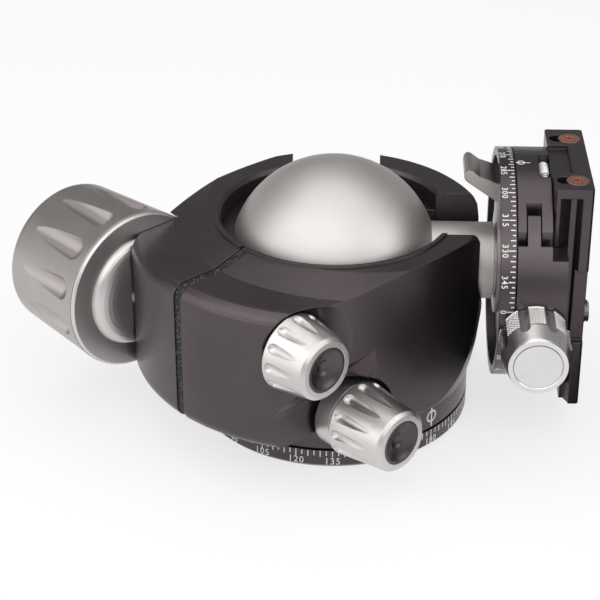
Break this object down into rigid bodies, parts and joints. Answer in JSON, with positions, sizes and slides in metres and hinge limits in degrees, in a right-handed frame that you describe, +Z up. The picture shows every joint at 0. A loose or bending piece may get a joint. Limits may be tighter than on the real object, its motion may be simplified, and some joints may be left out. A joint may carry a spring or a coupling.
{
  "type": "tripod ball head",
  "caption": "Low tripod ball head with a split clamping housing, drop notches, a scaled panning base, a panning clamp and a quick-release plate.",
  "frame": {"origin": "centre of the base's bottom face, on the panning axis", "axes": "+Z up along the panning axis; +X along the stem when it is dropped in its notch, as in the picture; the main knob points to -X +Y"},
  "size_m": [0.1565, 0.1047, 0.0738],
  "materials": {
    "dark_anodised": "satin anodised, brownish black",
    "blasted_silver": "bead-blasted, satin",
    "collar_silver": "fine satin, bright",
    "knob_silver": "fine satin",
    "titanium_grey": "satin anodised, warm grey",
    "spun_silver": "spun face",
    "steel": "machined",
    "copper_screw": "copper-coloured plating",
    "brass": "machined",
    "bearing_plastic": "low-friction plastic",
    "black_plastic": "matt",
    "foam": "pebbled closed foam",
    "pad_rubber": "ribbed",
    "vial_glass": "clear tube with tinted liquid"
  },
  "bodies": {
    "base": {"pan_base": "dark_anodised", "thread_insert": "steel", "pan_hub": "steel", "hub_screws": "steel", "pan_washer_lower": "bearing_plastic"},
    "housing": {"ball_housing": "dark_anodised", "slot_seal": "foam", "seat_ring": "dark_anodised", "lower_ball_cup": "bearing_plastic", "pan_washer_upper": "bearing_plastic", "main_thread_insert": "brass", "pan_brake_shoe": "bearing_plastic"},
    "main_control": {"main_clamp_screw": "steel", "main_washer": "steel", "main_collar": "collar_silver", "main_grip": "titanium_grey", "main_cap": "dark_anodised"},
    "drag_control": {"drag_screw": "steel", "drag_plunger": "brass", "drag_knob": "knob_silver", "drag_cap": "dark_anodised"},
    "pan_lock": {"pan_lock_screw": "steel", "pan_lock_collar": "collar_silver", "pan_lock_knob": "knob_silver", "pan_lock_cap": "dark_anodised"},
    "ball": {"ball_stem": "blasted_silver"},
    "clamp_mount": {"clamp_scale_ring": "dark_anodised", "clamp_thrust_washer": "bearing_plastic", "clamp_bolt": "steel"},
    "lever": {"pan_lever": "titanium_grey"},
    "clamp": {"clamp_body": "dark_anodised", "level_holder": "black_plastic", "level_vial": "vial_glass"},
    "jaw": {"clamp_jaw": "dark_anodised", "jaw_guide_pins": "steel"},
    "jaw_control": {"jaw_screw": "steel", "jaw_knob": "spun_silver", "jaw_knob_cap": "spun_silver"},
    "plate": {"qr_plate": "dark_anodised", "plate_pad": "pad_rubber", "plate_stop_screws": "copper_screw"},
    "mount_screw": {"camera_screw": "steel"}
  },
  "joints": [
    {"name": "base_pan", "type": "hinge", "parent": "base", "child": "housing", "pos_m": [0, 0, 0.006], "axis": [0, 0, 1], "continuous": true},
    {"name": "main_knob_turn", "type": "hinge", "parent": "housing", "child": "main_control", "pos_m": [-0.03076, -0.03076, 0.0376], "axis": [-0.7071, 0.7071, 0], "range_deg": [-180, 180]},
    {"name": "drag_knob_turn", "type": "hinge", "parent": "housing", "child": "drag_control", "pos_m": [-0.0297, -0.0297, 0.0433], "axis": [0.7071, -0.7071, 0], "range_deg": [-270, 270]},
    {"name": "pan_knob_turn", "type": "hinge", "parent": "housing", "child": "pan_lock", "pos_m": [-0.0174, -0.0174, 0.019], "axis": [0.7071, -0.7071, 0], "range_deg": [-180, 180]},
    {"name": "ball_tilt", "type": "hinge", "parent": "housing", "child": "ball", "pos_m": [0, 0, 0.0433], "axis": [0, 1, 0], "range_deg": [-115, 0]},
    {"name": "ball_swivel", "type": "hinge", "parent": "ball", "child": "clamp_mount", "pos_m": [0.04, 0, 0.0433], "axis": [1, 0, 0], "range_deg": [-60, 60]},
    {"name": "lever_turn", "type": "hinge", "parent": "clamp_mount", "child": "lever", "pos_m": [0.042, 0, 0.0433], "axis": [1, 0, 0], "range_deg": [-30, 30]},
    {"name": "clamp_pan", "type": "hinge", "parent": "clamp_mount", "child": "clamp", "pos_m": [0.05, 0, 0.0433], "axis": [1, 0, 0], "continuous": true},
    {"name": "jaw_slide", "type": "slide", "parent": "clamp", "child": "jaw", "axis": [0, -1, 0], "range_m": [0, 0.0028]},
    {"name": "jaw_knob_turn", "type": "hinge", "parent": "jaw", "child": "jaw_control", "pos_m": [0.052, -0.04, 0.0378], "axis": [0, -1, 0], "range_deg": [0, 1008]},
    {"name": "plate_slide", "type": "slide", "parent": "clamp", "child": "plate", "axis": [0, 0, 1], "range_m": [-0.006, 0.006]},
    {"name": "camera_screw_turn", "type": "hinge", "parent": "plate", "child": "mount_screw", "pos_m": [0.06, 0, 0.0281], "axis": [1, 0, 0], "continuous": true}
  ],
  "couplings": [
    {"joint": "jaw_knob_turn", "follows": "jaw_slide", "rad_per_m": 6283.2}
  ]
}
